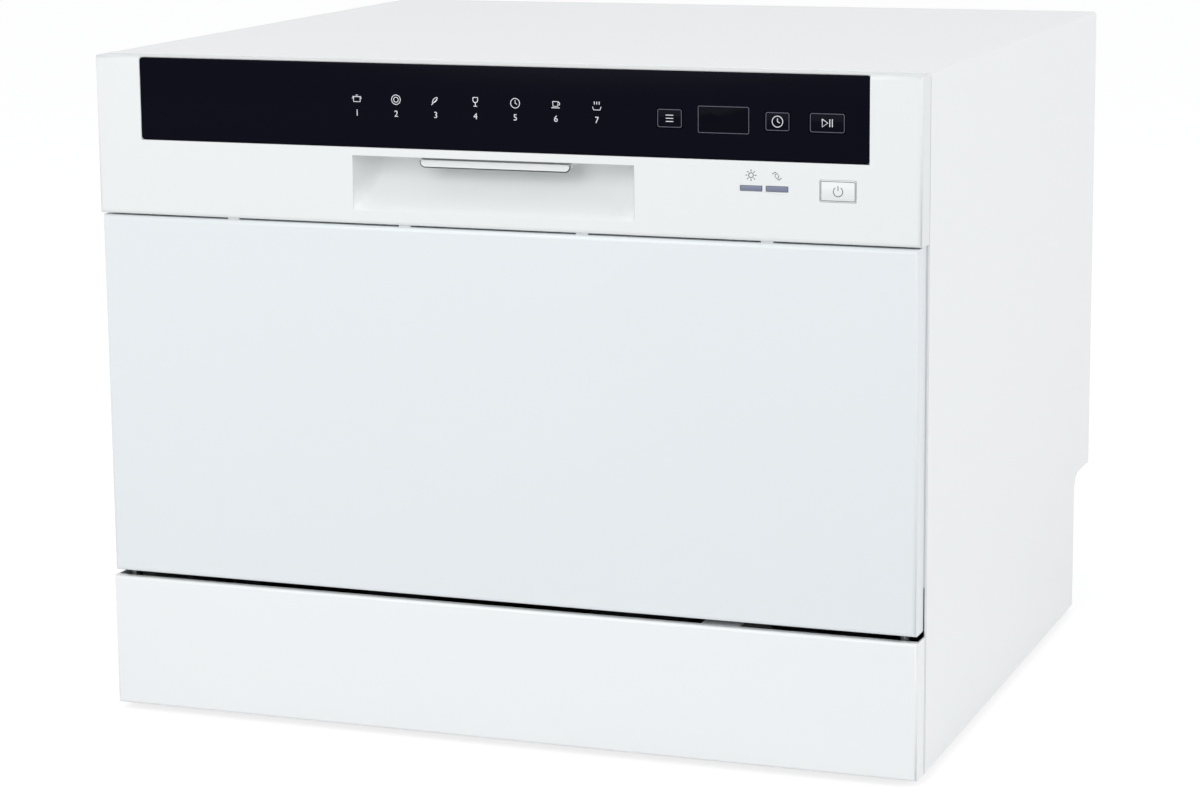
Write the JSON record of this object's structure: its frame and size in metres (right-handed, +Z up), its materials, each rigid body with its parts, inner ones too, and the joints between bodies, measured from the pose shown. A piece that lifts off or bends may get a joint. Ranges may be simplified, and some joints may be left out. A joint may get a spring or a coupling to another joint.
{
  "type": "countertop dishwasher",
  "caption": "White tabletop dishwasher with a drop-down door, black control strip, scooped handle recess, sliding wire rack and lifted rear base for hoses.",
  "frame": {"origin": "on the worktop, under the middle of the overall box", "axes": "+X to the right as seen from the front, +Y to the back, +Z up; the door faces -Y"},
  "size_m": [0.55, 0.5, 0.438],
  "materials": {
    "white_steel": "satin white enamel on sheet steel",
    "white_plastic": "white moulded plastic, satin gloss",
    "galvanised": "galvanised sheet steel",
    "stainless": "brushed stainless steel",
    "bright_steel": "bright zinc-plated steel",
    "spring_steel": "oiled spring steel",
    "seal_rubber": "soft grey rubber",
    "foot_rubber": "dark rubber and plastic",
    "black_gloss": "near-black high gloss plastic",
    "display_glass": "smoked display window",
    "lamp_lens": "grey-blue lamp lens",
    "circuit_board": "green circuit board",
    "dark_plastic": "dark moulded plastic",
    "grey_plastic": "mid grey moulded plastic",
    "pale_plastic": "pale grey moulded plastic",
    "coated_wire": "grey nylon-coated steel wire",
    "hose_rubber": "dark rubber hose"
  },
  "bodies": {
    "cabinet": {"outer_wrap": "white_steel", "rear_panel": "galvanised", "kickplate": "white_steel", "base_tray": "dark_plastic", "front_frame": "galvanised", "wash_tub": "stainless", "tub_seal": "seal_rubber", "rack_rails": "stainless", "strike_plate": "bright_steel", "hinge_brackets": "galvanised", "hinge_pins": "bright_steel", "spring_left": "spring_steel", "spring_right": "spring_steel", "sump": "dark_plastic", "flat_filter": "stainless", "spray_hub": "grey_plastic", "wash_pump": "dark_plastic", "drain_pump": "dark_plastic", "heater": "stainless", "softener": "pale_plastic", "inlet_valve": "pale_plastic", "drain_spigot": "dark_plastic", "drain_hose": "hose_rubber", "wash_pipes": "hose_rubber", "cord_gland": "dark_plastic", "air_break": "pale_plastic", "cabinet_screws": "bright_steel"},
    "foot_front_left": {"foot_front_left": "foot_rubber"},
    "foot_front_right": {"foot_front_right": "foot_rubber"},
    "foot_rear_left": {"foot_rear_left": "foot_rubber"},
    "foot_rear_right": {"foot_rear_right": "foot_rubber"},
    "door": {"door_panel": "white_steel", "door_liner": "stainless", "console": "white_plastic", "fascia": "black_gloss", "display_window": "display_glass", "control_board": "circuit_board", "indicator_lamps": "lamp_lens", "door_arms": "galvanised", "dispenser_body": "grey_plastic", "latch_housing": "dark_plastic", "door_screws": "bright_steel"},
    "handle_lever": {"handle_lever": "white_plastic"},
    "latch_hook": {"latch_hook": "bright_steel"},
    "program_key": {"program_key": "black_gloss"},
    "delay_key": {"delay_key": "black_gloss"},
    "start_key": {"start_key": "black_gloss"},
    "power_key": {"power_key": "white_plastic"},
    "dispenser_lid": {"dispenser_lid": "grey_plastic"},
    "dispenser_button": {"dispenser_button": "grey_plastic"},
    "rinse_aid_cap": {"rinse_aid_cap": "grey_plastic"},
    "dish_rack": {"dish_rack": "coated_wire", "plate_tines": "coated_wire"},
    "cup_shelf": {"cup_shelf": "coated_wire"},
    "cutlery_basket": {"cutlery_basket": "grey_plastic"},
    "front_wheels": {"front_wheels": "pale_plastic"},
    "rear_wheels": {"rear_wheels": "pale_plastic"},
    "spray_arm": {"spray_arm": "pale_plastic"},
    "cylinder_filter": {"cylinder_filter": "grey_plastic"},
    "salt_cap": {"salt_cap": "dark_plastic"}
  },
  "joints": [
    {"name": "foot_front_left_turn", "type": "hinge", "parent": "cabinet", "child": "foot_front_left", "pos_m": [-0.23, -0.212, 0.015], "axis": [0, 0, 1], "range_deg": [0, 1800]},
    {"name": "foot_front_right_turn", "type": "hinge", "parent": "cabinet", "child": "foot_front_right", "pos_m": [0.23, -0.212, 0.015], "axis": [0, 0, 1], "range_deg": [0, 1800]},
    {"name": "foot_rear_left_turn", "type": "hinge", "parent": "cabinet", "child": "foot_rear_left", "pos_m": [-0.23, 0.1702, 0.015], "axis": [0, 0, 1], "range_deg": [0, 1800]},
    {"name": "foot_rear_right_turn", "type": "hinge", "parent": "cabinet", "child": "foot_rear_right", "pos_m": [0.23, 0.1702, 0.015], "axis": [0, 0, 1], "range_deg": [0, 1800]},
    {"name": "door_hinge", "type": "hinge", "parent": "cabinet", "child": "door", "pos_m": [0, -0.24, 0.108], "axis": [1, 0, 0], "range_deg": [0, 90], "deforming": ["spring_left", "spring_right"]},
    {"name": "handle_pull", "type": "hinge", "parent": "door", "child": "handle_lever", "pos_m": [0, -0.2375, 0.39], "axis": [-1, 0, 0], "range_deg": [0, 12], "stiffness_Nm_per_rad": 0.5, "springref_deg": -11.46},
    {"name": "hook_lift", "type": "hinge", "parent": "door", "child": "latch_hook", "pos_m": [0, -0.222, 0.412], "axis": [1, 0, 0], "range_deg": [0, 6]},
    {"name": "program_key_press", "type": "slide", "parent": "door", "child": "program_key", "axis": [0, 1, 0], "range_m": [0, 0.0012], "stiffness_N_per_m": 400, "springref_m": -0.002},
    {"name": "delay_key_press", "type": "slide", "parent": "door", "child": "delay_key", "axis": [0, 1, 0], "range_m": [0, 0.0012], "stiffness_N_per_m": 400, "springref_m": -0.002},
    {"name": "start_key_press", "type": "slide", "parent": "door", "child": "start_key", "axis": [0, 1, 0], "range_m": [0, 0.0012], "stiffness_N_per_m": 400, "springref_m": -0.002},
    {"name": "power_key_press", "type": "slide", "parent": "door", "child": "power_key", "axis": [0, 1, 0], "range_m": [0, 0.0012], "stiffness_N_per_m": 400, "springref_m": -0.002},
    {"name": "dispenser_lid_slide", "type": "slide", "parent": "door", "child": "dispenser_lid", "axis": [0, 0, 1], "range_m": [0, 0.06]},
    {"name": "dispenser_button_press", "type": "slide", "parent": "door", "child": "dispenser_button", "axis": [0, -1, 0], "range_m": [0, 0.002], "stiffness_N_per_m": 400, "springref_m": -0.002},
    {"name": "rinse_aid_cap_turn", "type": "hinge", "parent": "door", "child": "rinse_aid_cap", "pos_m": [0.038, -0.2034, 0.288], "axis": [0, 1, 0], "range_deg": [0, 90]},
    {"name": "rack_slide", "type": "slide", "parent": "cabinet", "child": "dish_rack", "axis": [0, -1, 0], "range_m": [0, 0.166]},
    {"name": "front_wheels_roll", "type": "hinge", "parent": "dish_rack", "child": "front_wheels", "pos_m": [0.229, -0.081, 0.1543], "axis": [1, 0, 0], "range_deg": [0, 900]},
    {"name": "rear_wheels_roll", "type": "hinge", "parent": "dish_rack", "child": "rear_wheels", "pos_m": [0.229, 0.126, 0.1543], "axis": [1, 0, 0], "range_deg": [0, 900]},
    {"name": "cup_shelf_fold", "type": "hinge", "parent": "dish_rack", "child": "cup_shelf", "pos_m": [0.224, -0.001, 0.262], "axis": [0, 1, 0], "range_deg": [0, 80]},
    {"name": "cutlery_basket_lift", "type": "slide", "parent": "dish_rack", "child": "cutlery_basket", "axis": [0, 0, 1], "range_m": [0, 0.09]},
    {"name": "spray_arm_spin", "type": "hinge", "parent": "cabinet", "child": "spray_arm", "pos_m": [0, -0.001, 0.1337], "axis": [0, 0, 1], "continuous": true},
    {"name": "cylinder_filter_turn", "type": "hinge", "parent": "cabinet", "child": "cylinder_filter", "pos_m": [-0.06, -0.001, 0.1], "axis": [0, 0, 1], "range_deg": [0, 90]},
    {"name": "salt_cap_turn", "type": "hinge", "parent": "cabinet", "child": "salt_cap", "pos_m": [0.132, 0.095, 0.12], "axis": [0, 0, 1], "range_deg": [0, 360]}
  ],
  "couplings": [
    {"joint": "hook_lift", "follows": "handle_pull", "ratio": 0.5},
    {"joint": "rack_slide", "follows": "door_hinge", "m_per_rad": 0.105},
    {"joint": "front_wheels_roll", "follows": "door_hinge", "ratio": 9.545},
    {"joint": "rear_wheels_roll", "follows": "door_hinge", "ratio": 9.545}
  ]
}
